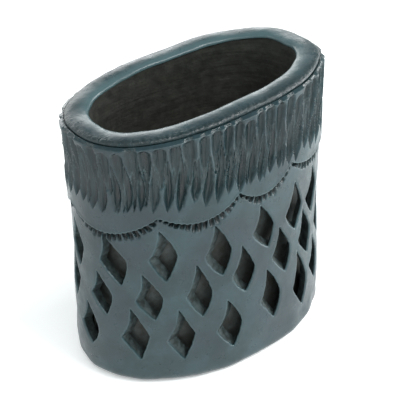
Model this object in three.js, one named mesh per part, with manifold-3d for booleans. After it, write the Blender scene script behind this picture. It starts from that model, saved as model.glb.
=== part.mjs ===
// An oval, double-walled openwork pot of burnished black clay. A floor slab carries a plain liner;
// round them stands an outer wall cut through with three rows of diamonds, a thicker collar laps over
// the wall's scalloped upper edge, and a rolled rim closes the gap between the two walls. Millimetres,
// +Z up. The foot stands on z = 0 with the oval's centre on the Z axis, its length along X, and the
// rim's higher end at +X. Angles run anticlockwise seen from above, from +X.
import * as THREE from "three";
import { mergeVertices } from "three/addons/utils/BufferGeometryUtils.js";
import Module from "manifold-3d";

const wasm = await Module();
wasm.setup();

// The oval body: height, full length and full width at three levels. Squareness is the superellipse
// exponent, where 2 is a true ellipse and more has flatter sides.
const FOOT = { z: 10, length: 101.6, width: 69.4, squareness: 2 };
const WAIST = { z: 50, length: 98.4, width: 66.8, squareness: 2.05 };
const RIM = { z: 100.6, length: 98.8, width: 62, squareness: 2.4 };
const LENGTH_FLARE = 1.2; // how late above the waist the length grows towards the rim
const WIDTH_TUCK = 2.2; // how late above the waist the width draws in
const RIM_RISE = 4.2; // the crest at the +X end stands this much above the crest halfway along

// Clay thicknesses and the slip-filled seams between the luted pieces.
const OUTER_WALL = 4;
const CAVITY = 2.5; // the gap between the outer wall and the liner
const LINER_WALL = 3.2;
const FLOOR_THICKNESS = 6;
const SEAM = 0.3;
const SCORE_DEPTH = 1; // the liner stands in a groove this deep in the floor
const FOOT_ROUNDING = 3.6;

// The rolled rim: a rounded lip over both walls, with a tongue pressed down between them.
const LIP_HEIGHT = 1.8;
const LIP_OVERHANG = 0.1;
const TONGUE_LENGTH = 4;
const LIP_STEPS = 6;

// The collar's lower edge hangs in scallops between cusps laid out by hand, and laps over the wall
// behind it.
const CUSPS = [30, 77, 126, 174, 217, 260, 300, 344]; // degrees
const CUSP_HEIGHT = 73.2;
const SCALLOP_SAG = 5.4;
const SCALLOP_RISE = 5.8; // at the +X end the whole garland is this much higher than halfway along
const LAP = 4;
const LAP_THICKNESS = 1.9;
const COLLAR_PROUD = 0.7; // the collar's face stands this far out from the wall below it

// The collar's flutes: long gouges side by side, pointed at both ends.
const FLUTES = 116;
const FLUTE_WIDTH = 2.6;
const FLUTE_DEPTH = 1;
const FLUTE_MARGIN = 1.2; // plain clay above the line of the cusps, and below the lip

// The diamonds: rows from the top, each with the depth of its middle under the cusps, the place of its
// first diamond along the wall from the middle of the front (-Y), and how far its spacing wanders
// across the front.
const DIAMONDS_PER_ROW = 16;
const ROWS = [
  { depth: 19, start: -70.5, drift: 7, width: 10, height: 19 },
  { depth: 33.2, start: -74, drift: 2.5, width: 9.4, height: 19.5 },
  { depth: 49.5, start: -80.8, drift: 2, width: 9.4, height: 21 },
];
const ROW_RISE = 3.2; // the rows climb by this much from halfway along to the +X end
const CUT_MARGIN = 1.5; // the knife goes this far past both faces of the wall

const SEGMENTS = 80;
const ARC_STEPS = 720;
const { clamp, euclideanModulo, lerp, radToDeg, smoothstep } = THREE.MathUtils;

const burnished = new THREE.MeshStandardMaterial({ color: 0x5a696e, roughness: 0.38, metalness: 0 });
const matte = new THREE.MeshStandardMaterial({ color: 0x45463f, roughness: 0.72, metalness: 0 });

// Half length, half width and squareness of the outer face at a height.
function ovalAt(z) {
  if (z <= WAIST.z) {
    const t = smoothstep(z, FOOT.z, WAIST.z);
    return {
      a: lerp(FOOT.length, WAIST.length, t) / 2,
      b: lerp(FOOT.width, WAIST.width, t) / 2,
      n: lerp(FOOT.squareness, WAIST.squareness, t),
    };
  }
  const t = clamp((z - WAIST.z) / (RIM.z - WAIST.z), 0, 1);
  return {
    a: lerp(WAIST.length, RIM.length, t ** LENGTH_FLARE) / 2,
    b: lerp(WAIST.width, RIM.width, t ** WIDTH_TUCK) / 2,
    n: lerp(WAIST.squareness, RIM.squareness, t),
  };
}

// The outward direction, level, of the outer face at an angle and height, and the point there.
function faceAt(angle, z) {
  const { a, b, n } = ovalAt(z);
  const c = Math.cos(angle);
  const s = Math.sin(angle);
  const radius = (Math.abs(c / a) ** n + Math.abs(s / b) ** n) ** (-1 / n);
  const point = new THREE.Vector3(radius * c, radius * s, z);
  const outward = new THREE.Vector3(
    (Math.sign(c) * Math.abs(point.x / a) ** (n - 1)) / a,
    (Math.sign(s) * Math.abs(point.y / b) ** (n - 1)) / b,
    0,
  ).normalize();
  return { point, outward };
}

// How far along the pot an angle is: -1 at the -X end, 1 at the +X end.
function shareAlong(angle) {
  return faceAt(angle, RIM.z).point.x / (RIM.length / 2);
}

// The crest of the rim, the underside of its lip, the line of the cusps and the scalloped edge, as
// heights at an angle.
function crestAt(angle) {
  return RIM.z + RIM_RISE * shareAlong(angle);
}

function lipBottomAt(angle) {
  return crestAt(angle) - LIP_HEIGHT;
}

function cuspLineAt(angle) {
  return CUSP_HEIGHT + SCALLOP_RISE * shareAlong(angle);
}

function garlandAt(angle) {
  const degrees = euclideanModulo(radToDeg(angle), 360);
  const next = CUSPS.findIndex((cusp) => cusp > degrees);
  const after = next < 0 ? CUSPS[0] + 360 : CUSPS[next];
  const before = next > 0 ? CUSPS[next - 1] : CUSPS.at(-1) - (next < 0 ? 0 : 360);
  const t = (degrees - before) / (after - before);
  return cuspLineAt(angle) - SCALLOP_SAG * 4 * t * (1 - t);
}

// A geometry as a manifold-3d solid: only positions, shared vertices merged, collapsed triangles left
// out.
function solidOf(geometry) {
  const bare = geometry.clone();
  bare.deleteAttribute("normal");
  bare.deleteAttribute("uv");
  const merged = mergeVertices(bare);
  const triangles = [];
  for (let i = 0; i < merged.index.count; i += 3) {
    const [p, q, r] = merged.index.array.slice(i, i + 3);
    if (p !== q && q !== r && r !== p) triangles.push(p, q, r);
  }
  const mesh = new wasm.Mesh({
    numProp: 3,
    vertProperties: merged.attributes.position.array,
    triVerts: new Uint32Array(triangles),
  });
  return new wasm.Manifold(mesh);
}

function geometryOf(solid) {
  const { vertProperties, triVerts } = solid.getMesh();
  const geometry = new THREE.BufferGeometry();
  geometry.setAttribute("position", new THREE.BufferAttribute(vertProperties, 3));
  geometry.setIndex(new THREE.BufferAttribute(triVerts, 1));
  geometry.computeVertexNormals();
  return geometry;
}

// A solid that follows the oval: a closed profile of { inset, z } points, where inset is the depth in
// from the outer face and z is a height or a function of the angle. A point with no inset lies on the
// centre line.
function ovalSolid(profile) {
  const closed = [...profile, profile[0]];
  const lathe = new THREE.LatheGeometry(
    closed.map((_, i) => new THREE.Vector2(closed.length - i, i)),
    SEGMENTS,
  );
  const position = lathe.attributes.position;
  for (let i = 0; i < position.count; i++) {
    const { inset, z } = closed[i % closed.length];
    const turn = Math.floor(i / closed.length) % SEGMENTS;
    const angle = (turn / SEGMENTS) * 2 * Math.PI;
    const height = typeof z === "function" ? z(angle) : z;
    if (inset === undefined) {
      position.setXYZ(i, 0, 0, height);
      continue;
    }
    const { point, outward } = faceAt(angle, height);
    point.addScaledVector(outward, -inset);
    position.setXYZ(i, point.x, point.y, height);
  }
  return solidOf(lathe);
}

const LINER_OUTSIDE = OUTER_WALL + CAVITY;
const LINER_INSIDE = LINER_OUTSIDE + LINER_WALL;

// The slab fits inside the outer wall, with a scored groove for the liner's foot.
function floorSlab() {
  const edge = OUTER_WALL + SEAM;
  const groove = FLOOR_THICKNESS - SCORE_DEPTH;
  return ovalSolid([
    { z: 0 },
    { inset: edge, z: 0 },
    { inset: edge, z: FLOOR_THICKNESS },
    { inset: LINER_OUTSIDE - SEAM, z: FLOOR_THICKNESS },
    { inset: LINER_OUTSIDE - SEAM, z: groove },
    { inset: LINER_INSIDE + SEAM, z: groove },
    { inset: LINER_INSIDE + SEAM, z: FLOOR_THICKNESS },
    { z: FLOOR_THICKNESS },
  ]);
}

// The plain inner wall, from the groove in the floor to the underside of the rim.
function linerWall() {
  const foot = FLOOR_THICKNESS - SCORE_DEPTH + SEAM;
  const top = (angle) => lipBottomAt(angle) - SEAM;
  return ovalSolid([
    { inset: LINER_OUTSIDE, z: foot },
    { inset: LINER_OUTSIDE, z: FOOT.z },
    { inset: LINER_OUTSIDE, z: WAIST.z },
    { inset: LINER_OUTSIDE, z: top },
    { inset: LINER_INSIDE, z: top },
    { inset: LINER_INSIDE, z: WAIST.z },
    { inset: LINER_INSIDE, z: FOOT.z },
    { inset: LINER_INSIDE, z: foot },
  ]);
}

// The length along the wall at a height, from the middle of the front, as a list of { angle, length }
// steps.
function wallSteps(z) {
  const front = -Math.PI / 2;
  const steps = [];
  let length = 0;
  let last = faceAt(front, z).point;
  for (let i = 0; i <= ARC_STEPS; i++) {
    const angle = front + (i / ARC_STEPS) * 2 * Math.PI;
    const { point } = faceAt(angle, z);
    length += point.distanceTo(last);
    last = point;
    steps.push({ angle, length });
  }
  return steps;
}

// The angle at a length along the wall.
function angleAlong(steps, length) {
  const place = euclideanModulo(length, steps.at(-1).length);
  return steps.find((step) => step.length >= place).angle;
}

// A knife cut's outline: a leaning diamond with a drawn-out top and its left corner lower than its
// right one.
function diamondShape(width, height) {
  const shape = new THREE.Shape();
  shape.moveTo(-0.14 * width, 0.5 * height);
  shape.lineTo(0.26 * width, 0.22 * height);
  shape.lineTo(0.5 * width, -0.02 * height);
  shape.lineTo(0.4 * width, -0.26 * height);
  shape.lineTo(0.16 * width, -0.5 * height);
  shape.lineTo(-0.24 * width, -0.28 * height);
  shape.lineTo(-0.5 * width, -0.08 * height);
  shape.lineTo(-0.22 * width, 0.2 * height);
  shape.closePath();
  return shape;
}

// One cutter per diamond, standing square to the outer wall.
function diamondCutters(row) {
  const middle = CUSP_HEIGHT - row.depth;
  const steps = wallSteps(middle);
  const around = steps.at(-1).length;
  const reach = OUTER_WALL + 2 * CUT_MARGIN;
  const outline = diamondShape(row.width, row.height);
  const blade = new THREE.ExtrudeGeometry(outline, { depth: reach, bevelEnabled: false });
  return Array.from({ length: DIAMONDS_PER_ROW }, (_, column) => {
    const share = column / DIAMONDS_PER_ROW;
    const wander = row.drift * Math.max(0, Math.sin(2 * Math.PI * share));
    const angle = angleAlong(steps, row.start + share * around + wander);
    const { point, outward } = faceAt(angle, middle);
    const up = new THREE.Vector3(0, 0, 1);
    const along = new THREE.Vector3().crossVectors(up, outward);
    point.addScaledVector(outward, CUT_MARGIN - reach);
    point.z += ROW_RISE * shareAlong(angle);
    const stance = new THREE.Matrix4().makeBasis(along, up, outward).setPosition(point);
    return solidOf(blade.clone().applyMatrix4(stance));
  });
}

// The lower outer wall: a rounded foot, diamonds cut right through, and a thin tongue that the collar
// laps over.
function openworkWall() {
  const shoulder = (angle) => garlandAt(angle) - SEAM;
  const tongueTop = (angle) => garlandAt(angle) + LAP - SEAM;
  const level = (share) => (angle) => lerp(FOOT.z, shoulder(angle), share);
  const tongue = LAP_THICKNESS + SEAM;
  const rounding = Math.min(FOOT_ROUNDING, OUTER_WALL - SEAM);
  const wall = ovalSolid([
    { inset: rounding, z: 0 },
    { inset: 0.3 * rounding, z: 0.3 * rounding },
    { inset: 0, z: rounding },
    { inset: 0, z: FOOT.z },
    { inset: 0, z: level(0.42) },
    { inset: COLLAR_PROUD / 2, z: level(0.74) },
    { inset: COLLAR_PROUD, z: shoulder },
    { inset: tongue, z: shoulder },
    { inset: tongue, z: tongueTop },
    { inset: OUTER_WALL, z: tongueTop },
    { inset: OUTER_WALL, z: level(0.74) },
    { inset: OUTER_WALL, z: level(0.42) },
    { inset: OUTER_WALL, z: FOOT.z },
    { inset: OUTER_WALL, z: 0 },
  ]);
  return ROWS.flatMap(diamondCutters).reduce((cut, cutter) => cut.subtract(cutter), wall);
}

// One gouge for each flute: a long octahedron lying along the collar's face, sunk to the flute's depth.
function fluteGouges() {
  const steps = wallSteps(CUSP_HEIGHT);
  const around = steps.at(-1).length;
  return Array.from({ length: FLUTES }, (_, flute) => {
    const angle = angleAlong(steps, (flute / FLUTES) * around);
    const low = faceAt(angle, cuspLineAt(angle) + FLUTE_MARGIN);
    const high = faceAt(angle, lipBottomAt(angle) - FLUTE_MARGIN);
    const up = new THREE.Vector3().subVectors(high.point, low.point);
    const length = up.length();
    up.normalize();
    const along = new THREE.Vector3().crossVectors(up, low.outward).normalize();
    const outward = new THREE.Vector3().crossVectors(along, up);
    const middle = new THREE.Vector3().lerpVectors(low.point, high.point, 0.5);
    const gouge = new THREE.OctahedronGeometry(1).scale(FLUTE_WIDTH / 2, length / 2, FLUTE_DEPTH);
    gouge.applyMatrix4(new THREE.Matrix4().makeBasis(along, up, outward).setPosition(middle));
    return solidOf(gouge);
  });
}

// The collar: the band that the potter gouges, from its scalloped lapping edge up to the underside of
// the rim.
function flutedCollar() {
  const lapTop = (angle) => garlandAt(angle) + LAP;
  const top = (angle) => lipBottomAt(angle) - SEAM;
  const middle = (angle) => (lapTop(angle) + top(angle)) / 2;
  const band = ovalSolid([
    { inset: 0, z: garlandAt },
    { inset: 0, z: middle },
    { inset: 0, z: top },
    { inset: OUTER_WALL, z: top },
    { inset: OUTER_WALL, z: middle },
    { inset: OUTER_WALL, z: lapTop },
    { inset: LAP_THICKNESS, z: lapTop },
    { inset: LAP_THICKNESS, z: garlandAt },
  ]);
  return fluteGouges().reduce((cut, gouge) => cut.subtract(gouge), band);
}

// The rim: half an oval bead over both walls, and the tongue that is pressed into the cavity.
function rimRing() {
  const middle = LINER_INSIDE / 2;
  const reach = middle + LIP_OVERHANG;
  const bead = Array.from({ length: LIP_STEPS + 1 }, (_, i) => {
    const turn = (i / LIP_STEPS) * Math.PI;
    return {
      inset: middle - reach * Math.cos(turn),
      z: (angle) => lipBottomAt(angle) + LIP_HEIGHT * Math.sin(turn) ** 0.6,
    };
  });
  const tongueBottom = (angle) => lipBottomAt(angle) - TONGUE_LENGTH;
  return ovalSolid([
    ...bead,
    { inset: LINER_OUTSIDE - SEAM, z: lipBottomAt },
    { inset: LINER_OUTSIDE - SEAM, z: tongueBottom },
    { inset: OUTER_WALL + SEAM, z: tongueBottom },
    { inset: OUTER_WALL + SEAM, z: lipBottomAt },
  ]);
}

function piece(name, solid, material) {
  const mesh = new THREE.Mesh(geometryOf(solid), material);
  mesh.name = name;
  return mesh;
}

const pot = new THREE.Group();
pot.add(
  piece("floor_slab", floorSlab(), matte),
  piece("liner_wall", linerWall(), matte),
  piece("openwork_wall", openworkWall(), burnished),
  piece("fluted_collar", flutedCollar(), burnished),
  piece("rim_ring", rimRing(), burnished),
);

export default pot;
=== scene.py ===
"""Looks for the oval openwork pot of burnished black clay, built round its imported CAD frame."""

import math

import bpy
import numpy as np
from mathutils import Matrix, Vector, noise
from mathutils.geometry import delaunay_2d_cdt
from mathutils.kdtree import KDTree


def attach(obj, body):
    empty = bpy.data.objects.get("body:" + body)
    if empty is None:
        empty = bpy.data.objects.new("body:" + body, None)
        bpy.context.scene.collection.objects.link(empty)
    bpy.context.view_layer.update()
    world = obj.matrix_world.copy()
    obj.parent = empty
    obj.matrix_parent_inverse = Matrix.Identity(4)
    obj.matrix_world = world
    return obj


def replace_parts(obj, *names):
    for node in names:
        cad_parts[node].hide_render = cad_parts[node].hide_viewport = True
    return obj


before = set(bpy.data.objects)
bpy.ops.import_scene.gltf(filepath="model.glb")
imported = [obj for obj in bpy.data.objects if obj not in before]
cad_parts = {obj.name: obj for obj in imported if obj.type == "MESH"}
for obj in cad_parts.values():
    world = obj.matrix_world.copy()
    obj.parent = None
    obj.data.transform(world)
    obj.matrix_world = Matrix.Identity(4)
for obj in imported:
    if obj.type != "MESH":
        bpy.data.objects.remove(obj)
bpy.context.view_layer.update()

MM = 0.001
rng = np.random.default_rng(7)

# The oval body, in millimetres: height, half length, half width and squareness at three levels.
FOOT = (10.0, 50.8, 34.7, 2.0)
WAIST = (50.0, 49.2, 33.4, 2.05)
RIM = (100.6, 49.4, 31.0, 2.4)
LENGTH_FLARE = 1.2
WIDTH_TUCK = 2.2
RIM_RISE = 4.2

OUTER_WALL = 4.0
CAVITY = 2.5
LINER_WALL = 3.2
LINER_OUTSIDE = OUTER_WALL + CAVITY
LINER_INSIDE = LINER_OUTSIDE + LINER_WALL
FLOOR_THICKNESS = 6.0
SEAM = 0.3
SCORE_DEPTH = 1.0
FOOT_ROUNDING = 3.6

LIP_HEIGHT = 1.8
TONGUE_LENGTH = 4.0

CUSPS = np.array([30, 77, 126, 174, 217, 260, 300, 344], float)
CUSP_HEIGHT = 73.2
SCALLOP_SAG = 5.4
SCALLOP_RISE = 5.8
LAP = 4.0
LAP_THICKNESS = 1.9
COLLAR_PROUD = 0.7

DIAMONDS_PER_ROW = 16
ROWS = (  # depth under the cusps, start, drift, width, height
    (19.0, -70.5, 7.0, 10.0, 19.0),
    (33.2, -74.0, 2.5, 9.4, 19.5),
    (49.5, -80.8, 2.0, 9.4, 21.0),
)
ROW_RISE = 3.2
# How the cuts across the front stray from their even places, in millimetres: the top's shift along
# and up, then the bottom's. A separate program measured all but (0, 6) and (1, 6), and they are
# rounded to half a millimetre. Those not named here stray at random.
STRAY = {
    (0, 1): (-2.5, 0.5, 1, 0), (0, 2): (-0.5, 2, -2, 1), (0, 3): (1, -0.5, 0, -2),
    (0, 4): (2.5, 0, 2.5, 1), (0, 5): (4, 1, 1.5, 0.5), (0, 6): (2, 0.5, 0, 0),
    (1, 1): (-1.5, -2, 0, 1), (1, 2): (-1, -1, 0.5, 0), (1, 3): (1, 0, 0, -2),
    (1, 4): (2, 1.5, 0, 2), (1, 5): (2.5, 1.5, 3, 0.5), (1, 6): (2, 0.5, 1.5, 0),
    (2, 1): (-1, -1, -1.5, 2.5), (2, 2): (0.5, 0.5, 0.5, 0.5), (2, 3): (0, -1.5, -1, -1.5),
    (2, 4): (1.5, -2.5, 0.5, -2.5), (2, 5): (2.5, 2.5, 2.5, 1.5), (2, 6): (3, 1, 3.5, -3.5),
}
DIAMOND = np.array(
    [
        (-0.14, 0.5), (0.26, 0.22), (0.5, -0.02), (0.4, -0.26),
        (0.16, -0.5), (-0.24, -0.28), (-0.5, -0.08), (-0.22, 0.2),
    ]
)

NOTCH_PITCH = 1.87
SLANT_DROP = 1.1  # how far down the knife came out
CUT_ROUND = 0.5  # the rounding of a diamond's outer edge
HOLE_POINTS = 112
STRUT = 2.0  # the least clay between two diamonds
TIP_CLEARANCE = 1.3  # clay left between a diamond's top and the collar's edge
RING_OFFSETS = (0.04, 0.13, 0.27, 0.5, 0.85)
WALL_RINGS = 4
NEAR_ARC, NEAR_HEIGHT = 9, 14  # no cut reaches further than this from its middle
TOP_GAP = 0.06  # the openwork wall's top edge stops this far under the collar
FINE_STEP = 0.27  # the spacing of points where the garland is pressed in
FINE_BAND = 4.2  # how far down that spacing goes
COARSE_STEP = 0.95
INNER_STEP = 2.6
MAX_SCOOP = 1.1  # the most that the gouges take off the collar's top edge


# ---------------------------------------------------------------- the oval

def lerp(a, b, t):
    return a + (b - a) * t


def smooth(t, low=0.0, high=1.0):
    t = np.clip((t - low) / (high - low), 0, 1)
    return t * t * (3 - 2 * t)


def oval_at(z):
    below = smooth(z, FOOT[0], WAIST[0])
    above = np.clip((z - WAIST[0]) / (RIM[0] - WAIST[0]), 0, 1)
    shares = (above**LENGTH_FLARE, above**WIDTH_TUCK, above)
    return [
        np.where(z <= WAIST[0], lerp(FOOT[i], WAIST[i], below), lerp(WAIST[i], RIM[i], share))
        for i, share in zip((1, 2, 3), shares)
    ]


def face_at(angle, z):
    """The outer face's point and its level outward direction, in millimetres."""
    angle, z = np.broadcast_arrays(np.asarray(angle, float), np.asarray(z, float))
    a, b, n = oval_at(z)
    c, s = np.cos(angle), np.sin(angle)
    radius = (np.abs(c / a) ** n + np.abs(s / b) ** n) ** (-1 / n)
    x, y = radius * c, radius * s
    nx = np.sign(c) * np.abs(x / a) ** (n - 1) / a
    ny = np.sign(s) * np.abs(y / b) ** (n - 1) / b
    size = np.hypot(nx, ny)
    return x, y, nx / size, ny / size


def share_along(angle):
    return face_at(angle, RIM[0])[0] / RIM[1]


def crest_at(angle):
    return RIM[0] + RIM_RISE * share_along(angle)


def lip_bottom_at(angle):
    return crest_at(angle) - LIP_HEIGHT


def scallop_at(angle):
    """Where an angle lies between the cusps before and after it, from 0 to 1."""
    degrees = np.degrees(angle) % 360
    after = np.searchsorted(CUSPS, degrees, side="right")
    ends = np.concatenate([[CUSPS[-1] - 360], CUSPS, [CUSPS[0] + 360]])
    return (degrees - ends[after]) / (ends[after + 1] - ends[after])


def garland_at(angle):
    t = scallop_at(angle)
    return CUSP_HEIGHT + SCALLOP_RISE * share_along(angle) - SCALLOP_SAG * 4 * t * (1 - t)


def arc_table(z):
    """Angles from the middle of the front, and the length along the wall at each."""
    angles = -math.pi / 2 + np.linspace(0, 2 * math.pi, 1441)
    x, y, _, _ = face_at(angles, z)
    return angles, np.concatenate([[0], np.cumsum(np.hypot(np.diff(x), np.diff(y)))])


ARC_ANGLES, ARC_LENGTHS = arc_table(WAIST[0])
AROUND = ARC_LENGTHS[-1]
LOG_RADIUS = AROUND / (2 * math.pi)


def angle_of(arc):
    turns = np.floor(np.asarray(arc) / AROUND)
    return np.interp(arc - turns * AROUND, ARC_LENGTHS, ARC_ANGLES) + turns * 2 * math.pi


def arc_of(angle):
    turned = (np.asarray(angle) + math.pi / 2) % (2 * math.pi) - math.pi / 2
    return np.interp(turned, ARC_ANGLES, ARC_LENGTHS)


def arc_from(arc, middle):
    """Arc length from a middle, the short way round."""
    return (arc - middle + AROUND / 2) % AROUND - AROUND / 2


def inside_polygon(x, y, corners):
    """Which points lie inside a closed outline, by the edges that a ray crosses."""
    hit = np.zeros(len(x), bool)
    for (ax, ay), (bx, by) in zip(corners, np.roll(corners, -1, 0)):
        cross = (ay > y) != (by > y)
        with np.errstate(divide="ignore", invalid="ignore"):
            hit ^= cross & (x < (bx - ax) * (y - ay) / (by - ay) + ax)
    return hit


def perlin(points, size, shift=0.0):
    return np.array([noise.noise(Vector(p)) for p in points / size + shift])


def hand(x, y, z):
    """How far the hand-shaped surface stands out from the true oval."""
    points = np.stack([x.ravel(), y.ravel(), z.ravel()], 1)
    swell = 0.34 * perlin(points, 15.0, 3.1) + 0.14 * perlin(points, 6.0, 11.7)
    foot = 0.5 * perlin(points * (1, 1, 0.4), 8.0, 27.0) * smooth(-points[:, 2], -13, -2)
    return (swell + foot).reshape(x.shape)


def place(angle, z, inset, shaped=True):
    """Points at a depth in from the outer face, with the hand's unevenness carried through."""
    x, y, nx, ny = face_at(angle, z)
    z = np.broadcast_to(z, x.shape)
    depth = np.asarray(inset) - (hand(x, y, z) if shaped else 0)
    return np.stack([x - depth * nx, y - depth * ny, z], -1)


# ---------------------------------------------------------------- mesh helpers

def make_piece(name, points, faces, slot, material, sharp=55, **attributes):
    mesh = bpy.data.meshes.new(name)
    mesh.from_pydata((points * MM).tolist(), [], [list(map(int, f)) for f in faces])
    mesh.validate()
    for key, values in attributes.items():
        layer = mesh.attributes.new(key, "FLOAT", "POINT")
        layer.data.foreach_set("value", np.asarray(values, np.float32))
    mesh.polygons.foreach_set("use_smooth", np.ones(len(mesh.polygons), bool))
    mesh.set_sharp_from_angle(angle=math.radians(sharp))
    mesh.materials.append(material)
    piece = bpy.data.objects.new(name, mesh)
    bpy.context.scene.collection.objects.link(piece)
    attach(piece, "root")
    return piece


def band_faces(first, second, closed=True):
    """Quads between two loops of vertex numbers."""
    n = len(first)
    last = n if closed else n - 1
    return [
        (first[i], first[(i + 1) % n], second[(i + 1) % n], second[i]) for i in range(last)
    ]


def grid_faces(rows, columns, closed_rows=True):
    """Quads of a grid that closes round its columns, and round its rows when closed_rows is set."""
    faces = []
    count = rows if closed_rows else rows - 1
    column = np.arange(columns)
    after = (column + 1) % columns
    for r in range(count):
        low, high = r * columns, ((r + 1) % rows) * columns
        faces.append(np.stack([low + column, low + after, high + after, high + column], 1))
    return np.concatenate(faces)


# ---------------------------------------------------------------- the diamonds

class Hole:
    """One knife cut: its outline in arc length and height, evenly stepped, anticlockwise."""

    def __init__(self, row, column):
        depth, start, drift, width, height = ROWS[row]
        middle = CUSP_HEIGHT - depth
        angles, lengths = arc_table(middle)
        turn = column / DIAMONDS_PER_ROW
        along = start + turn * lengths[-1] + drift * max(0, math.sin(2 * math.pi * turn))
        angle = float(np.interp(along % lengths[-1], lengths, angles))
        self.arc = float(arc_of(angle))
        self.z = middle + ROW_RISE * float(share_along(angle))
        corners = DIAMOND * (width, height)
        corners = corners + rng.uniform(-0.3, 0.3, corners.shape)
        random = rng.uniform((-0.7, -0.4, -0.7, -0.7), (0.7, 1.1, 0.7, 0.4))
        stray = np.array(STRAY.get((row, column), random))
        share = np.clip(corners[:, 1] / height + 0.5, 0, 1)[:, None]
        corners += lerp(stray[2:], stray[:2], share)
        ceiling = garland_at(angle_of(self.arc + corners[0, 0])) - TIP_CLEARANCE - self.z
        corners[0, 1] = min(corners[0, 1], ceiling)
        sides = []
        for i in range(0, 8, 2):
            a, m, b = corners[i], corners[i + 1], corners[(i + 2) % 8]
            bend = 2 * m - (a + b) / 2
            t = np.linspace(0, 1, 60, endpoint=False)[:, None]
            sides.append((1 - t) ** 2 * a + 2 * t * (1 - t) * bend + t**2 * b)
        loop = np.concatenate(sides)[::-1]
        loop = np.vstack([loop, loop[:1]])
        run = np.concatenate([[0], np.cumsum(np.hypot(*np.diff(loop, axis=0).T))])
        steps = np.linspace(0, run[-1], HOLE_POINTS, endpoint=False)
        even = np.stack([np.interp(steps, run, loop[:, i]) for i in (0, 1)], 1)
        even = 0.7 * even + 0.15 * (np.roll(even, 1, 0) + np.roll(even, -1, 0))
        tangent = np.roll(even, -1, 0) - np.roll(even, 1, 0)
        self.normal = np.stack([tangent[:, 1], -tangent[:, 0]], 1)
        self.normal /= np.linalg.norm(self.normal, axis=1)[:, None]
        phase = rng.uniform(0, 2 * math.pi, 3)
        turnaround = np.linspace(0, 2 * math.pi, HOLE_POINTS, endpoint=False)
        wobble = sum(0.05 * np.sin(k * turnaround + p) for k, p in zip((7, 13, 22), phase))
        tips = [np.hypot(*(even - corners[i]).T) for i in (0, 2, 4, 6)]
        wobble = wobble * smooth(np.min(tips, axis=0), 0.3, 2.5)
        self.local = even + wobble[:, None] * self.normal

    @property
    def outline(self):
        return self.local + (self.arc, self.z)

    def ring(self, offset):
        return self.outline + offset * self.normal

    def contains(self, points):
        x = arc_from(points[:, 0], self.arc)
        y = points[:, 1] - self.z
        inside = np.zeros(len(points), bool)
        near = np.nonzero((np.abs(x) < NEAR_ARC) & (np.abs(y) < NEAR_HEIGHT))[0]
        inside[near] = inside_polygon(x[near], y[near], self.local)
        return inside


def gap_between(one, other):
    """The least clay between two cuts, or infinity where they are plainly far apart."""
    shift = arc_from(other.arc, one.arc)
    if abs(shift) > 14 or abs(other.z - one.z) > 26:
        return math.inf
    step = other.local + (shift, other.z - one.z)
    return float(np.min(np.hypot(*(one.local[:, None] - step[None]).transpose(2, 0, 1))))


def slant_at(arc):
    """How far round the wall the knife came out from where it went in: it was held at a slant."""
    from_front = arc_from(arc, 0)
    return 3.8 * smooth(from_front, -62, -28) * (1 - 0.7 * smooth(from_front, 60, 100))


def shape_holes():
    """All the diamonds, with any two that come too close to each other drawn in a little."""
    made = [Hole(row, column) for row in range(len(ROWS)) for column in range(DIAMONDS_PER_ROW)]
    for _ in range(8):
        for i, one in enumerate(made):
            for other in made[i + 1 :]:
                if gap_between(one, other) < STRUT:
                    one.local = one.local * 0.97
                    other.local = other.local * 0.97
    return made


holes = shape_holes()


# ---------------------------------------------------------------- the openwork wall

ROUND_LENGTH = math.pi / 2 * FOOT_ROUNDING
UNDER_LENGTH = OUTER_WALL - FOOT_ROUNDING


def run_of(z):
    """Length up the outer face's profile, from the outer edge of the flat underside."""
    return z - FOOT_ROUNDING + ROUND_LENGTH


def log_polar(points):
    """Arc length and profile length to a plane where the band round the pot is a ring."""
    grow = np.exp(points[:, 1] / LOG_RADIUS)
    turn = points[:, 0] / LOG_RADIUS
    return np.stack([grow * np.cos(turn), grow * np.sin(turn)], 1)


HEX_RISE = 0.866  # the height of a row of even triangles, as a share of their side


def hex_points(low, high, spacing):
    """Free points on a jittered triangular grid, between two heights."""
    columns = int(round(AROUND / spacing))
    rows = int((high - low) / (spacing * HEX_RISE)) + 1
    r, c = np.mgrid[0:rows, 0:columns]
    arc = (c + 0.5 * (r % 2)) * AROUND / columns
    run = low + r * spacing * HEX_RISE
    jitter = rng.uniform(-0.12, 0.12, (2,) + arc.shape) * spacing
    return np.stack([(arc + jitter[0]).ravel(), (run + jitter[1]).ravel()], 1)


def wrapped(points):
    return np.stack([points[:, 0] % AROUND, points[:, 1]], 1)


def far_from(points, others, distance):
    """The points further than a distance from all the others, round the seam as well."""
    tree = KDTree(len(others))
    for i, p in enumerate(log_polar(others)):
        tree.insert((p[0], p[1], 0), i)
    tree.balance()
    flat = log_polar(points)
    grow = np.exp(points[:, 1] / LOG_RADIUS) / LOG_RADIUS
    found = np.array([tree.find((x, y, 0))[2] for x, y in flat])
    return found / grow > distance


def triangulate(loops, free):
    """A Delaunay mesh of closed loops and free points; returns all points and the triangles."""
    points = np.vstack(loops + [free])
    edges, start = [], 0
    for loop in loops:
        n = len(loop)
        edges += [(start + i, start + (i + 1) % n) for i in range(n)]
        start += n
    flat = [Vector(p) for p in log_polar(points)]
    out, _, faces, _, _, _ = delaunay_2d_cdt(flat, edges, [], 0, 1e-7, False)
    if len(out) != len(points):
        raise ValueError(f"the mesh gained {len(out) - len(points)} points")
    return points, np.array(faces)


def loop_owners(count, sizes):
    """The number of the loop that each point belongs to, or -1 for a free point."""
    owner = np.full(count, -1)
    start = 0
    for i, size in enumerate(sizes):
        owner[start : start + size] = i
        start += size
    return owner


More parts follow.
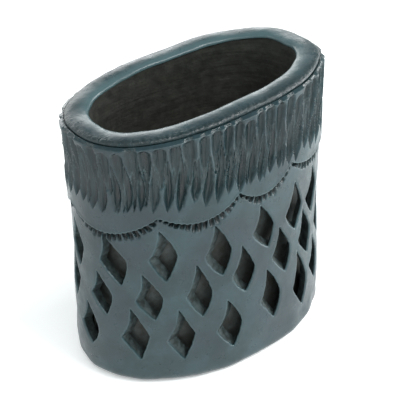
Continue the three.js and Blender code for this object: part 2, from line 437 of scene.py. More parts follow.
def keep_band(points, faces, hole_loops, bottom_size, top_size, top_of):
    """Marks the triangles inside the foot's ring and above the top edge; the caller drops those
    inside the diamonds.
    """
    owner = loop_owners(len(points), [bottom_size, top_size] + hole_loops)
    own = owner[faces]
    same = (own[:, 0] == own[:, 1]) & (own[:, 1] == own[:, 2]) & (own[:, 0] >= 0)
    drop = same & (own[:, 0] == 0)
    mid_flat = log_polar(points)[faces].mean(1)
    turn = np.arctan2(mid_flat[:, 1], mid_flat[:, 0])
    middle = np.stack(
        [turn % (2 * math.pi) * LOG_RADIUS, np.log(np.hypot(*mid_flat.T)) * LOG_RADIUS], 1
    )
    top = same & (own[:, 0] == 1)
    drop |= top & (middle[:, 1] > top_of(middle[:, 0]))
    return drop, middle, own, same


def notch_depth(angle, arc, below):
    """Depth of the row of tool marks under the collar's scalloped edge."""
    t = scallop_at(angle)
    pitch = AROUND / NOTCH_COUNT
    length_all = 1.6 + 2.0 * smooth(t, 0.0, 0.4) - 0.6 * smooth(t, 0.85, 1.0)
    lean = 0.7 * (2 * t - 1)
    ends = smooth(t, 0.0, 0.03) * (1 - smooth(t, 0.97, 1.0))
    depth = np.zeros_like(arc)
    base = np.floor((arc - lean * below) / pitch)
    for step in (-1, 0, 1, 2):
        k = (base + step).astype(int) % NOTCH_COUNT
        middle = (base + step) * pitch + NOTCH_SHIFT[k] + lean * below
        length = length_all * NOTCH_LENGTH[k]
        fall = 1 - np.clip(below / length, 0, 1) ** 3
        across = np.clip(np.abs(arc - middle) / (0.78 * (0.75 + 0.25 * fall)), 0, 1)
        depth = np.maximum(depth, NOTCH_DEPTH[k] * fall * (1 - across**3.5))
    return depth * ends


NOTCH_COUNT = round(AROUND / NOTCH_PITCH)
NOTCH_SHIFT = rng.uniform(-0.16, 0.16, NOTCH_COUNT)
NOTCH_LENGTH = rng.uniform(0.85, 1.15, NOTCH_COUNT)
NOTCH_DEPTH = rng.uniform(1.3, 1.6, NOTCH_COUNT)


def wall_inset(angle, z):
    """The openwork wall thins a little towards the edge that the collar stands proud of."""
    share = (z - FOOT[0]) / (garland_at(angle) - FOOT[0])
    return COLLAR_PROUD * smooth(share, 0.4, 1.0)


BOTTOM_COUNT, TOP_COUNT = 420, 1000  # points round the wall's lower and upper edges
BOTTOM_ARC = np.linspace(0, AROUND, BOTTOM_COUNT, endpoint=False)
TOP_ARC = np.linspace(0, AROUND, TOP_COUNT, endpoint=False)
FIRST_CUT = BOTTOM_COUNT + TOP_COUNT  # the number of the first point on a cut's outline


def run_top(arc):
    """Profile length at the top edge of the outer face."""
    return run_of(garland_at(angle_of(arc)) - TOP_GAP)


def tongue_top(arc):
    """Height of the tongue that the collar laps over."""
    return garland_at(angle_of(arc)) + LAP - SEAM


def unrolled(points):
    """Arc length and profile length as arc length and height, above the foot's rounding."""
    return np.stack([points[:, 0], points[:, 1] + FOOT_ROUNDING - ROUND_LENGTH], 1)


def inside_any(points):
    flat = unrolled(points)
    hit = np.zeros(len(points), bool)
    for hole in holes:
        hit |= hole.contains(flat)
    return hit


def inside_loop(points, loop, middle_arc):
    """Which points lie inside a loop that may cross the seam of the arc lengths."""
    ring = np.stack([arc_from(loop[:, 0], middle_arc), loop[:, 1]], 1)
    return inside_polygon(arc_from(points[:, 0], middle_arc), points[:, 1], ring)


def ring_points():
    """Rings of points round the cuts, and how far each point is from its cut."""
    rings = []
    for hole in holes:
        for offset in RING_OFFSETS:
            ring = hole.ring(offset)
            rings.append(np.stack([ring[:, 0] % AROUND, run_of(ring[:, 1])], 1))
    rings = np.vstack(rings)
    offsets = np.tile(np.repeat(RING_OFFSETS, HOLE_POINTS), len(holes))
    keep = ~inside_any(rings) & (rings[:, 1] < run_top(rings[:, 0]) - 0.4)
    return rings[keep], offsets[keep]


def garland_points():
    """Close points along the top edge, where the notches are pressed in."""
    rise = FINE_STEP * HEX_RISE
    r, c = np.mgrid[1 : int(FINE_BAND / rise) + 1, 0 : int(round(AROUND / FINE_STEP))]
    arc = (c + 0.5 * (r % 2)) * AROUND / c.shape[1]
    fine = np.stack([arc.ravel(), run_top(arc.ravel()) - (r * FINE_STEP * HEX_RISE).ravel()], 1)
    return fine[~inside_any(fine)]


def open_mesh(bottom, top, cuts, free, top_of, inside_cut):
    """One face of the wall laid flat: its points, and its triangles with the cuts left open."""
    points, faces = triangulate([bottom, top] + cuts, wrapped(free))
    sizes = [HOLE_POINTS] * len(holes)
    drop, middle, own, same = keep_band(points, faces, sizes, BOTTOM_COUNT, TOP_COUNT, top_of)
    for i in range(len(holes)):
        mine = np.nonzero(same & (own[:, 0] == i + 2))[0]
        if len(mine):
            drop[mine] |= inside_cut(i, points, middle[mine])
    return points, faces[~drop]


def plan_outer():
    """The outer face laid flat, and how far the ring points are from their cuts."""
    bottom = np.stack([BOTTOM_ARC, np.full(BOTTOM_COUNT, -UNDER_LENGTH)], 1)
    top = np.stack([TOP_ARC, run_top(TOP_ARC)], 1)
    outlines = [wrapped(hole.outline) for hole in holes]
    cuts = [np.stack([o[:, 0], run_of(o[:, 1])], 1) for o in outlines]
    rings, offsets = ring_points()
    fine = garland_points()
    coarse = hex_points(0.0, run_of(80.0), COARSE_STEP)
    coarse = coarse[coarse[:, 1] < run_top(coarse[:, 0]) - 4.8]
    coarse = coarse[~inside_any(coarse)]
    near_cuts = np.vstack([rings] + cuts)
    fine = fine[far_from(fine, near_cuts, 0.27)]
    coarse = coarse[far_from(coarse, near_cuts, 0.62)]
    coarse = coarse[coarse[:, 1] > 0.3]

    def inside_cut(i, _, middle):
        return holes[i].contains(unrolled(middle))

    free = np.vstack([rings, fine, coarse])
    points, faces = open_mesh(bottom, top, cuts, free, run_top, inside_cut)
    return points, faces, offsets


def shape_outer(points, offsets):
    """The outer face in space, with the rounded cuts, the tool marks and the ragged foot. Returns
    each point's distance from its cut and the depth of its notch as well."""
    arc, run = points[:, 0], points[:, 1]
    angle = angle_of(arc)
    theta = np.clip(run / FOOT_ROUNDING, 0, math.pi / 2)
    z = np.where(
        run > ROUND_LENGTH, run - ROUND_LENGTH + FOOT_ROUNDING, FOOT_ROUNDING * (1 - np.cos(theta))
    )
    inset = np.where(run < 0, FOOT_ROUNDING - run, FOOT_ROUNDING * (1 - np.sin(theta)))
    inset = inset + np.where(z > FOOT[0], wall_inset(angle, z), 0)
    from_cut = np.full(len(points), 9.0)
    cuts_end = FIRST_CUT + HOLE_POINTS * len(holes)
    from_cut[FIRST_CUT:cuts_end] = 0
    from_cut[cuts_end : cuts_end + len(offsets)] = offsets
    rounding = np.clip(CUT_ROUND - from_cut, 0, None)
    sink = CUT_ROUND - np.sqrt(np.clip(CUT_ROUND**2 - rounding**2, 0, None))
    below = np.clip(garland_at(angle) - z, 0, None)
    notch = notch_depth(angle, arc, below)
    lifted = 0.1 * np.exp(-((from_cut - 0.8) / 0.5) ** 2)
    depth = sink + notch - lifted
    inset = inset + depth * np.sin(np.where(run > 0, theta, 0))
    x, y, nx, ny = face_at(angle, z)
    swell = hand(x, y, z)
    full = inset - swell * np.sin(theta)
    z_out = z + np.where(theta < math.pi / 2, swell * -np.cos(theta), 0)
    ragged = perlin(np.stack([x, y, 0 * x], 1), 9.0, 50.0)
    z_out = z_out + 1.1 * np.clip(ragged, 0, 1) * smooth(-z, -7, 0) * np.sin(theta)
    z_out = np.where(run <= 0.01, 0, np.clip(z_out, 0, None))
    return np.stack([x - full * nx, y - full * ny, z_out], 1), from_cut, notch


def inner_cut(hole):
    """A cut's outline on the inner face, moved along by the knife's slant."""
    x, y, nx, ny = face_at(angle_of(np.array([hole.arc - 4, hole.arc + 4])), hole.z)
    outer_gap = math.hypot(x[1] - x[0], y[1] - y[0])
    x, y = x - OUTER_WALL * nx, y - OUTER_WALL * ny
    widen = outer_gap / math.hypot(x[1] - x[0], y[1] - y[0])
    middle = (hole.arc + slant_at(hole.arc), hole.z - SLANT_DROP)
    return wrapped(hole.local * (widen * 0.97, 0.96) + middle)


def plan_inner():
    """The inner face laid flat, coarser, with the same number of points round each cut."""
    top = np.stack([TOP_ARC, tongue_top(TOP_ARC)], 1)
    bottom = np.stack([BOTTOM_ARC, np.zeros(BOTTOM_COUNT)], 1)
    cuts = [inner_cut(hole) for hole in holes]
    free = hex_points(1.5, 84.0, INNER_STEP)
    free = free[free[:, 1] < tongue_top(free[:, 0]) - 1.5]
    hit = np.zeros(len(free), bool)
    for hole, loop in zip(holes, cuts):
        hit |= inside_loop(free, loop, hole.arc)
    free = free[~hit]
    free = free[far_from(free, np.vstack(cuts), 1.3)]

    def inside_cut(i, points, middle):
        loop = points[FIRST_CUT + i * HOLE_POINTS :][:HOLE_POINTS]
        return inside_loop(middle, loop, holes[i].arc)

    return open_mesh(bottom, top, cuts, free, tongue_top, inside_cut)


def cut_wall(hole, start, end):
    """The rough rings of points between a cut's outer and inner outlines."""
    outline = wrapped(hole.outline)
    _, _, nx, ny = face_at(angle_of(outline[:, 0]), outline[:, 1])
    side = np.stack([-ny, nx], 1) * hole.normal[:, :1]
    rings = []
    for k in range(1, WALL_RINGS + 1):
        ring = lerp(start, end, k / (WALL_RINGS + 1))
        rough = 0.16 * perlin(ring, 0.9, 5.0) + 0.22 * perlin(ring, 2.2, 9.0)
        ring[:, :2] += side * rough[:, None]
        ring[:, 2] += hole.normal[:, 1] * rough
        rings.append(ring)
    return rings


def build_openwork(material):
    points, faces, offsets = plan_outer()
    outer, from_cut, notch = shape_outer(points, offsets)
    points, inner_faces = plan_inner()
    inner = place(angle_of(points[:, 0]), points[:, 1], OUTER_WALL)
    inner[:BOTTOM_COUNT] = outer[:BOTTOM_COUNT]

    # The inner face shares its bottom loop with the outer face.
    number = np.arange(len(inner)) - BOTTOM_COUNT + len(outer)
    number[:BOTTOM_COUNT] = np.arange(BOTTOM_COUNT)
    triangles = np.vstack([faces, number[inner_faces][:, ::-1]])

    # The ledge and the tongue under the collar join the two faces at the top.
    count = len(outer) + len(inner) - BOTTOM_COUNT
    top_loop = np.arange(BOTTOM_COUNT, FIRST_CUT)
    ledge_loop = np.arange(count, count + TOP_COUNT)
    lip_loop = ledge_loop + TOP_COUNT
    count += 2 * TOP_COUNT
    tongue = LAP_THICKNESS + SEAM
    top_angle = angle_of(TOP_ARC)
    ledge = place(top_angle, garland_at(top_angle) - TOP_GAP, tongue)
    lip = place(top_angle, tongue_top(TOP_ARC), tongue)
    parts = [outer, inner[BOTTOM_COUNT:], ledge, lip]
    quads = band_faces(top_loop, ledge_loop)
    quads += band_faces(ledge_loop, lip_loop)
    quads += band_faces(lip_loop, number[top_loop])

    for i, hole in enumerate(holes):
        previous = np.arange(HOLE_POINTS) + FIRST_CUT + i * HOLE_POINTS
        last = number[previous]
        for ring in cut_wall(hole, outer[previous], inner[previous]):
            parts.append(ring)
            loop = np.arange(count, count + HOLE_POINTS)
            count += HOLE_POINTS
            quads += band_faces(previous, loop)
            previous = loop
        quads += band_faces(previous, last)

    cut, worn, deep = np.ones(count), np.zeros(count), np.zeros(count)
    cut[: len(outer)] = 0
    # Painted highlight: the colour is lighter along each diamond's rounded outer edge.
    worn[: len(outer)] = 0.5 * np.exp(-((from_cut - 0.2) / 0.25) ** 2)
    # Painted shade: the notches are coloured darker the deeper they are pressed.
    deep[: len(outer)] = 2.0 * notch
    return make_piece(
        "openwork_body", np.vstack(parts), [*triangles, *quads], "burnished_clay", material,
        cut=cut, worn=worn, deep=deep,
    )


# ---------------------------------------------------------------- the fluted collar

# The flutes: two staggered tiers of broad gouges and one of narrow ones cut across them.
GOUGES = (55, 55, 116)


def flute_marks(arc, z, low, high):
    """Depth of the overlapping gouges between two heights, and how ridge-like the clay left
    between them is."""
    best = np.zeros_like(arc)
    second = np.zeros_like(arc)
    span = high - low
    down = high - z
    turn = (arc + 25) / AROUND * 2 * math.pi
    lean = 0.02 - 0.26 * np.sin(turn)
    curl = -1.7 + 1.1 * np.sin(turn)
    for tier, count in enumerate(GOUGES):
        pitch = AROUND / count
        stagger = 0.5 * (tier == 1)
        base = np.floor((arc - lean * down) / pitch - stagger)
        for step in (-1, 0, 1, 2):
            index = base + step
            k = index.astype(int) % count
            start = GOUGE_START[tier][k] * span
            end = GOUGE_END[tier][k] * span
            along = (down - start) / (end - start)
            inside = (along > 0) & (along < 1)
            along = np.clip(along, 0, 1)
            if tier == 0:
                tip = np.sqrt(1 - np.clip(1 - along / 0.12, 0, 1) ** 2)
                half = tip * lerp(2.5, 0.6, smooth(along, 0.25, 1.0))
            elif tier == 1:
                tip = 1 - np.clip((along - 0.7) / 0.3, 0, 1) ** 1.6
                half = tip * lerp(0.5, 2.35, smooth(along, 0.0, 0.6))
            else:
                half = 1.15 * np.sin(math.pi * along) ** 0.5
            sweep = curl * np.clip((down / span - 0.45) / 0.55, 0, 1.3) ** 1.6
            half = half * GOUGE_SIZE[tier][k] + 1e-6
            centre = (index + stagger) * pitch + GOUGE_SHIFT[tier][k] + lean * down + sweep
            across = (arc - centre) / half
            section = np.clip(1 - across**2, 0, None) * (1 + 0.6 * np.clip(across, -1, 1))
            depth = GOUGE_DEEP[tier][k] * (half / 2.2) ** 0.6 * section
            depth = np.where(inside, depth, 0)
            second = np.maximum(second, np.minimum(best, depth))
            best = np.maximum(best, depth)
    ridge = smooth(best, 0.1, 0.3) * (1 - smooth(best - second, 0.0, 0.13))
    return best, ridge


def gouge_sizes(*ranges):
    return [rng.uniform(low, high, count) for (low, high), count in zip(ranges, GOUGES)]


GOUGE_SHIFT = gouge_sizes((-0.5, 0.5), (-0.5, 0.5), (-0.9, 0.9))
GOUGE_START = gouge_sizes((-0.03, 0.08), (0.1, 0.34), (0.0, 0.45))
GOUGE_END = gouge_sizes((0.6, 0.86), (0.93, 1.06), (0.6, 1.02))
GOUGE_SIZE = gouge_sizes((0.9, 1.12), (0.9, 1.12), (0.7, 1.1))
GOUGE_DEEP = gouge_sizes((1.2, 1.6), (1.4, 1.8), (1.5, 2.3))


# The polished slope under the rim: depth in, height under the lip, and the share of the scoop.
CHAMFER = ((0.5, 0.55, 0.5), (0.8, 0.34, 0.28), (1.1, 0.16, 0.1), (1.4, 0.06, 0))


def build_collar(material):
    columns, face_rows = 960, 76
    arc = np.linspace(0, AROUND, columns, endpoint=False)
    angle = angle_of(arc)
    garland = garland_at(angle)
    lip = lip_bottom_at(angle)
    top = lip - 0.1
    wave = 0.12 * np.cos(2 * math.pi * arc / (AROUND / NOTCH_COUNT))
    edge = garland + wave
    rows = []  # (inset, z, painted shade, painted highlight, gloss) for each row of the profile

    def row(inset, z, deep=0.0, worn=0.0, gloss=0.0):
        full = np.broadcast_to
        rows.append([full(v, arc.shape) for v in (inset, z, deep, worn, gloss)])

    bead = 0.12
    row(LAP_THICKNESS, garland + 0.02)
    row(1.0, garland + 0.02)
    # Painted highlight along the collar's rounded lower edge, over the notches.
    for turn in np.radians((10, 35, 60, 85)):
        row(0.4 - 0.4 * math.sin(turn) - bead, edge + 0.4 - 0.4 * math.cos(turn), 0, 0.8)
    shoulder = lip - 1.0
    share_x = share_along(angle)
    low = 73.6 + np.where(share_x < 0, 3.0, 5.0) * share_x
    high = lip - 0.3
    start = edge + 0.5
    for share in np.linspace(0, 1, face_rows):
        z = lerp(start, shoulder, share)
        depth, ridge = flute_marks(arc, z, low, high)
        fade = 0.6 + 0.4 * smooth(shoulder - z, 0.0, 1.2)
        lip_bead = bead * np.exp(-((z - start) / 0.6) ** 2)
        # Painted shade darkens the flutes by their depth; a painted highlight lightens the ridges
        # left between them.
        row(depth * fade - lip_bead, z, 0.7 * depth, 0.55 * ridge)
    scoop = np.minimum(flute_marks(arc, shoulder, low, high)[0], MAX_SCOOP)
    # The rounded shoulder gets painted shade by the scoop's depth and a faint painted highlight.
    for turn in np.radians((20, 45, 70)):
        edge_row = 0.3 - 0.3 * math.cos(turn) + 0.7 * scoop
        row(edge_row, shoulder + 0.3 * math.sin(turn), 0.3 + 0.4 * scoop, 0.2)
    # Painted shade: the polished slope is coloured a little darker, and the rows under the roll
    # darker still, for the shade under the overhanging lip.
    for inset, drop, share in CHAMFER:
        row(inset + share * scoop, lip - drop, 0.3 + 0.3 * scoop, 0, 1.0)
    row(1.6, lip - 0.06, 0.5, 0, 1.0)
    row(1.75, lip - 0.2, 1.0)
    row(2.3, top, 1.2)
    row(OUTER_WALL, top)
    lap_top = garland + LAP
    for share in (0.2, 0.45, 0.7):
        row(OUTER_WALL, lerp(top, lap_top, share))
    row(OUTER_WALL, lap_top)
    row(LAP_THICKNESS, lap_top)
    row(LAP_THICKNESS, lerp(lap_top, garland, 0.5))

    points = np.concatenate([place(angle, z, inset) for inset, z, _, _, _ in rows])
    deep, worn, gloss = (np.concatenate([row[i] for row in rows]) for i in (2, 3, 4))
    faces = grid_faces(len(rows), columns)
    return make_piece(
        "fluted_band", points, faces, "burnished_clay", material,
        cut=np.zeros(len(points)), worn=worn, deep=deep, gloss=gloss,
    )


# ---------------------------------------------------------------- rim, liner and floor

def build_rim(material):
    columns, steps = 720, 36
    arc = np.linspace(0, AROUND, columns, endpoint=False)
    angle = angle_of(arc)
    lip = lip_bottom_at(angle)
    x, y, _, _ = face_at(angle, RIM[0])
    around = np.stack([x, y, 0 * x], 1)
    outer = 1.95 + 0.3 * perlin(around, 11.0, 33.0) + 0.1 * perlin(around, 4.0, 35.0)
    inner = LINER_INSIDE + 0.5 + 0.35 * perlin(around, 9.0, 37.0)
    rows = []
    for i in range(steps + 1):
        turn = i / steps * math.pi
        share = (1 - math.cos(turn)) / 2
        rows.append((lerp(outer, inner, share), lip + LIP_HEIGHT * math.sin(turn) ** 0.75))
    rows.append((LINER_INSIDE - 0.2, lip - 0.22))
    rows.append((LINER_INSIDE - 1.0, lip - 0.12))
    rows.append((LINER_OUTSIDE - SEAM, lip - 0.1))
    rows.append((LINER_OUTSIDE - SEAM, lip - TONGUE_LENGTH))
    rows.append((OUTER_WALL + SEAM, lip - TONGUE_LENGTH))
    rows.append((OUTER_WALL + SEAM, lip - 0.1))
    rows.append((outer + 1.2, lip - 0.1))
    rows.append((outer + 0.7, lip - 0.22))
    rows.append((outer + 0.35, lip - 0.26))
    rows.append((outer + 0.08, lip - 0.14))
    points = []
    for k, (inset, z) in enumerate(rows):
        ring = place(angle, z, inset)
        if k <= steps:
            rise = math.sin(k / steps * math.pi)
            ring[:, 2] += rise * (0.5 * perlin(ring, 13.0, 40.0) + 0.07 * perlin(ring, 3.5, 44.0))
        points.append(ring)
    points = np.concatenate(points)
    # Painted highlight on the inner half of the roll's top, lightest towards the inner edge.
    worn = np.zeros((len(rows), columns))
    worn[: steps + 1] = 0.85 * smooth(np.linspace(0, 1, steps + 1), 0.4, 0.8)[:, None]
    # Painted shade on the roll's outer side, darkest at its outer edge where it turns down.
    deep = np.zeros((len(rows), columns))
    deep[: steps + 1] = 0.75 - 0.75 * smooth(np.linspace(0, 1, steps + 1), 0.12, 0.5)[:, None]
    return make_piece(
        "rolled_rim", points, grid_faces(len(rows), columns), "burnished_clay", material,
        cut=np.zeros(len(points)), worn=worn.ravel(), deep=deep.ravel(),
    )


def build_liner(material):
    columns = 400
    arc = np.linspace(0, AROUND, columns, endpoint=False)
    angle = angle_of(arc)
    foot = FLOOR_THICKNESS - SCORE_DEPTH + 0.05
    top = lip_bottom_at(angle) - 0.15
    rows = []
    for share in np.linspace(0, 1, 60):
        rows.append((LINER_OUTSIDE, lerp(foot, top, share), 1.0))
    for share in np.linspace(0, 1, 110):
        rows.append((LINER_INSIDE, lerp(top, foot, share), -1.0))
    points = []
    for inset, z, out in rows:
        ring = place(angle, z, inset)
        _, _, nx, ny = face_at(angle, z)
        wipes = 0.1 * perlin(ring * (0.12, 0.12, 1.0), 1.5, 60.0)
        mottle = 0.14 * perlin(ring, 2.6, 70.0)
        depth = (wipes + mottle) * out
        ring[:, 0] += nx * depth
        ring[:, 1] += ny * depth
        points.append(ring)
    points = np.concatenate(points)
    # Marks the outer face, which the material colours lighter: partly its own grey, partly painted
    # light falling in through the diamonds.
    facing = np.repeat([out > 0 for _, _, out in rows], columns)
    return make_piece(
        "inner_liner", points, grid_faces(len(rows), columns), "matte_clay", material,
        cut=facing, worn=np.zeros(len(points)), deep=np.zeros(len(points)),
    )


def build_floor(material):
    columns = 300
    arc = np.linspace(0, AROUND, columns, endpoint=False)
    angle = angle_of(arc)
    edge = OUTER_WALL + 0.12
    groove = FLOOR_THICKNESS - SCORE_DEPTH
    rows = []
    for share in np.linspace(0.06, 1, 26):
        rows.append(("under", share))
    rows += [(edge, 0.9), (edge, 3.0), (edge, FLOOR_THICKNESS)]
    rows += [(LINER_OUTSIDE - SEAM, FLOOR_THICKNESS), (LINER_OUTSIDE - SEAM, groove)]
    rows += [(LINER_INSIDE + SEAM, groove), (LINER_INSIDE + SEAM, FLOOR_THICKNESS)]
    for share in np.linspace(1, 0.06, 26)[1:]:
        rows.append(("over", share))
    points = []
    for kind, value in rows:
        if kind == "under":
            rim = place(angle, 0.0, edge + 0.6)
            ring = rim * (value, value, 1)
            lift = 0.35 * smooth(1 - value, 0.0, 0.5) + 0.08 * perlin(ring, 5.0, 90.0)
            ring[:, 2] = np.clip(lift, 0.0, None) if value < 1 else 0.0
        elif kind == "over":
            rim = place(angle, FLOOR_THICKNESS, LINER_INSIDE + SEAM)
            ring = rim * (value, value, 1)
            ring[:, 2] = FLOOR_THICKNESS + 0.18 * perlin(ring, 4.0, 95.0) * smooth(1 - value, 0, 0.2)
        else:
            ring = place(angle, value, kind)
        points.append(ring)
    points.append(np.array([[0, 0, 0.35], [0, 0, FLOOR_THICKNESS]]))
    points = np.concatenate(points)
    faces = grid_faces(len(rows), columns, closed_rows=False).tolist()
    low_centre = len(rows) * columns
    last = (len(rows) - 1) * columns
    for i in range(columns):
        j = (i + 1) % columns
        faces.append((low_centre, j, i))
        faces.append((low_centre + 1, last + i, last + j))
    return make_piece(
        "floor_disc", points, faces, "matte_clay", material,
        cut=np.zeros(len(points)), worn=np.zeros(len(points)), deep=np.zeros(len(points)),
    )


# ---------------------------------------------------------------- materials

class Nodes:
    """A short way to write a node tree."""

    def __init__(self, name):
        self.material = bpy.data.materials.new(name)
        self.material.use_nodes = True
        self.tree = self.material.node_tree
        self.tree.nodes.clear()
        out = self.tree.nodes.new("ShaderNodeOutputMaterial")
        self.shader = self.tree.nodes.new("ShaderNodeBsdfPrincipled")
        self.tree.links.new(self.shader.outputs[0], out.inputs[0])
        self.place = self.tree.nodes.new("ShaderNodeTexCoord").outputs["Object"]

    def new(self, kind, **settings):
        node = self.tree.nodes.new(kind)
        for key, value in settings.items():
            setattr(node, key, value)
        return node

    def feed(self, socket, value):
        if hasattr(value, "is_output"):
            self.tree.links.new(value, socket)
        else:
            socket.default_value = value

    def stretched(self, scale):
        node = self.new("ShaderNodeMapping")
        self.feed(node.inputs["Vector"], self.place)
        node.inputs["Scale"].default_value = scale
        return node.outputs[0]

    def noise(self, scale, detail=3.0, rough=0.55, vector=None, distort=0.0):
        node = self.new("ShaderNodeTexNoise")
        self.feed(node.inputs["Vector"], vector or self.place)
        node.inputs["Scale"].default_value = scale
        node.inputs["Detail"].default_value = detail
        node.inputs["Roughness"].default_value = rough
        node.inputs["Distortion"].default_value = distort
        return node.outputs["Fac"]

    def ramp(self, value, low, high, bottom=0.0, top=1.0):
        node = self.new("ShaderNodeMapRange")
        node.interpolation_type = "SMOOTHSTEP"
        self.feed(node.inputs["Value"], value)
        for socket, number in zip(node.inputs[1:5], (low, high, bottom, top)):
            socket.default_value = number
        return node.outputs[0]

    def math(self, operation, a, b=0.0):
        node = self.new("ShaderNodeMath", operation=operation)
        self.feed(node.inputs[0], a)
        self.feed(node.inputs[1], b)
        return node.outputs[0]

    def mix(self, share, a, b):
        node = self.new("ShaderNodeMix", data_type="RGBA")
        self.feed(node.inputs[0], share)
        self.feed(node.inputs[6], a)
        self.feed(node.inputs[7], b)
        return node.outputs[2]

    def attribute(self, name):
        return self.new("ShaderNodeAttribute", attribute_name=name).outputs["Fac"]

    def bump(self, height, strength, distance, normal=None):
        node = self.new("ShaderNodeBump")
        self.feed(node.inputs["Height"], height)
        node.inputs["Strength"].default_value = strength
        node.inputs["Distance"].default_value = distance
        if normal is not None:
            self.feed(node.inputs["Normal"], normal)
        return node.outputs[0]


def colour(red, green, blue):
    """An sRGB colour, 0 to 255, as a linear one."""
    def linear(part):
        share = part / 255
        return share / 12.92 if part <= 10 else ((share + 0.055) / 1.055) ** 2.4

    return (linear(red), linear(green), linear(blue), 1.0)


def burnished_clay():
    n = Nodes("burnished_clay")
    blotch = n.ramp(n.noise(95, 4, 0.6), 0.36, 0.66)
    patch = n.ramp(n.noise(38, 3, 0.5), 0.4, 0.62)
    speck = n.ramp(n.noise(900, 2, 0.6), 0.35, 0.7)
    streak = n.ramp(n.noise(1, 3, 0.6, n.stretched((900, 900, 60))), 0.4, 0.7)
    base = n.mix(blotch, colour(29, 51, 55), colour(45, 69, 74))
    base = n.mix(n.math("MULTIPLY", patch, 0.55), base, colour(33, 48, 56))
    base = n.mix(n.math("MULTIPLY", speck, 0.3), base, colour(30, 43, 45))
    # Painted shade in the gouges, the notches and under the rim's roll: the colour turns to a darker,
    # streaked teal.
    shaded_recess = n.ramp(n.attribute("deep"), 0.02, 0.8)
    groove = n.mix(streak, colour(8, 25, 27), colour(24, 46, 50))
    base = n.mix(n.math("MULTIPLY", shaded_recess, 0.8), base, groove)
    # Painted shade, near black, in the deepest notches.
    deepest = n.ramp(n.attribute("deep"), 0.95, 1.7)
    base = n.mix(n.math("MULTIPLY", deepest, 0.85), base, colour(10, 14, 14))
    # Painted highlight: a lighter teal along edges and ridges.
    base = n.mix(n.math("MULTIPLY", n.attribute("worn"), 0.5), base, colour(90, 116, 119))
    cut = n.attribute("cut")
    raw = n.mix(n.ramp(n.noise(500, 3, 0.6), 0.35, 0.65), colour(34, 41, 40), colour(64, 75, 76))
    base = n.mix(cut, base, raw)
    n.feed(n.shader.inputs["Base Color"], base)
    gloss = n.ramp(n.noise(240, 4, 0.65), 0.3, 0.7, 0.26, 0.42)
    gloss = n.math("ADD", gloss, n.math("MULTIPLY", cut, 0.25))
    gloss = n.math("SUBTRACT", gloss, n.math("MULTIPLY", n.attribute("gloss"), 0.2))
    n.feed(n.shader.inputs["Roughness"], gloss)
    n.shader.inputs["Specular IOR Level"].default_value = 0.5
    normal = n.bump(n.noise(420, 3, 0.6), 0.3, 0.0003)
    normal = n.bump(n.math("MULTIPLY", streak, shaded_recess), 0.4, 0.0004, normal)
    normal = n.bump(n.noise(1500, 2, 0.7), 0.25, 0.00012, normal)
    n.feed(n.shader.inputs["Normal"], normal)
    return n.material


def matte_clay():
    n = Nodes("matte_clay")
    wipe = n.noise(1, 4, 0.6, n.stretched((60, 60, 900)))
    mottle = n.ramp(n.noise(260, 4, 0.65), 0.3, 0.75)
    # The well's inside: a dark brown-grey, partly the clay's own and partly painted shade in the deep
    # well.
    inside = n.mix(mottle, colour(34, 35, 31), colour(50, 51, 45))
    inside = n.mix(n.ramp(wipe, 0.45, 0.7, 0.0, 0.4), inside, colour(28, 28, 25))
    # The liner's outer face, seen through the diamonds: a lighter blue-grey, partly its own and
    # partly painted light falling in through the cuts.
    facing = n.mix(mottle, colour(66, 68, 63), colour(92, 101, 101))
    smoke = n.ramp(n.noise(45, 2, 0.5), 0.42, 0.62, 0.0, 0.4)
    facing = n.mix(smoke, facing, colour(44, 40, 33))
    base = n.mix(n.attribute("cut"), inside, facing)
    n.feed(n.shader.inputs["Base Color"], base)
    n.feed(n.shader.inputs["Roughness"], n.ramp(n.noise(300, 3), 0.3, 0.7, 0.55, 0.75))
    normal = n.bump(wipe, 0.4, 0.0004)
    normal = n.bump(n.noise(900, 3, 0.7), 0.4, 0.0003, normal)
    n.feed(n.shader.inputs["Normal"], normal)
    return n.material


burnished = burnished_clay()
matte = matte_clay()

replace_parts(build_openwork(burnished), "openwork_wall")
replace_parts(build_collar(burnished), "fluted_collar")
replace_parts(build_rim(burnished), "rim_ring")
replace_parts(build_liner(matte), "liner_wall")
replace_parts(build_floor(matte), "floor_slab")


# ---------------------------------------------------------------- stage, lights and camera

STAGE_SIZE = 1.5  # half the floor's side, in metres
STAGE_HEIGHT = -0.0002


def build_stage():
    mesh = bpy.data.meshes.new("stage_floor")
    signs = ((-1, -1), (1, -1), (1, 1), (-1, 1))
    corners = [(x * STAGE_SIZE, y * STAGE_SIZE, STAGE_HEIGHT) for x, y in signs]
    mesh.from_pydata(corners, [], [(0, 1, 2, 3)])
    n = Nodes("pale_floor")
    n.shader.inputs["Base Color"].default_value = (0.92, 0.92, 0.92, 1)
    n.shader.inputs["Roughness"].default_value = 0.9
    n.shader.inputs["Specular IOR Level"].default_value = 0.1
    n.shader.inputs["Emission Color"].default_value = (1, 1, 1, 1)
    n.shader.inputs["Emission Strength"].default_value = 0.25
    mesh.materials.append(n.material)
    floor = bpy.data.objects.new("stage_floor", mesh)
    bpy.context.scene.collection.objects.link(floor)


LIGHT_AIM = (0, 0, 0.05)


def add_light(name, where, size, power):
    data = bpy.data.lights.new(name, "AREA")
    data.shape = "RECTANGLE"
    data.size, data.size_y = size
    data.energy = power
    light = bpy.data.objects.new(name, data)
    light.location = where
    light.rotation_euler = (Vector(LIGHT_AIM) - Vector(where)).to_track_quat("-Z", "Y").to_euler()
    bpy.context.scene.collection.objects.link(light)


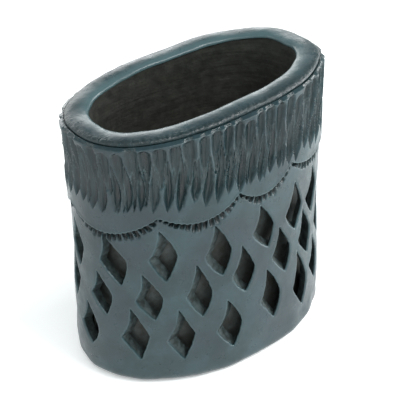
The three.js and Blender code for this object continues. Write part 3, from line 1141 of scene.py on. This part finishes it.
def build_world():
    """A white backdrop that is bright low down and dimmer overhead, and plain white to the camera."""
    world = bpy.data.worlds.new("studio")
    world.use_nodes = True
    tree = world.node_tree
    background = tree.nodes["Background"]
    background.inputs[0].default_value = (0.9, 1.0, 1.01, 1)
    split = tree.nodes.new("ShaderNodeSeparateXYZ")
    tree.links.new(tree.nodes.new("ShaderNodeTexCoord").outputs["Generated"], split.inputs[0])
    height = tree.nodes.new("ShaderNodeMapRange")
    height.interpolation_type = "SMOOTHSTEP"
    for socket, number in zip(height.inputs[1:5], (0.1, 0.6, 0.85, 0.4)):
        socket.default_value = number
    tree.links.new(split.outputs["Z"], height.inputs["Value"])
    seen = tree.nodes.new("ShaderNodeLightPath").outputs["Is Camera Ray"]
    strength = tree.nodes.new("ShaderNodeMath")
    strength.operation = "MAXIMUM"
    tree.links.new(height.outputs[0], strength.inputs[0])
    tree.links.new(seen, strength.inputs[1])
    tree.links.new(strength.outputs[0], background.inputs[1])
    bpy.context.scene.world = world


def build_camera():
    azimuth, elevation, distance, roll = math.radians(-34.8), math.radians(31.6), 0.399, 1.52
    target = Vector((0, 0, 0.05))
    back = Vector(
        (
            math.sin(azimuth) * math.cos(elevation),
            -math.cos(azimuth) * math.cos(elevation),
            math.sin(elevation),
        )
    )
    data = bpy.data.cameras.new("camera")
    data.lens = 97.8
    data.sensor_width = 36
    data.clip_start = 0.01
    data.shift_x = 0.0053
    data.shift_y = 0.0105
    camera = bpy.data.objects.new("camera", data)
    turn = back.to_track_quat("Z", "Y").to_matrix() @ Matrix.Rotation(math.radians(-roll), 3, "Z")
    camera.matrix_world = Matrix.Translation(target + back * distance) @ turn.to_4x4()
    bpy.context.scene.collection.objects.link(camera)
    bpy.context.scene.camera = camera


build_stage()
build_world()
build_camera()
add_light("left_box", (-0.62, 0.3, 0.45), (0.5, 0.7), 1.6)
add_light("right_box", (0.68, -0.2, 0.22), (0.4, 0.6), 6.0)
add_light("top_box", (-0.25, -0.55, 0.8), (0.6, 0.6), 2.3)
add_light("back_box", (0.25, 0.85, 0.32), (1.0, 0.4), 4.0)
add_light("strip", (0.22, -0.5, 0.68), (0.35, 0.06), 4.0)
bpy.context.scene.view_settings.view_transform = "Standard"
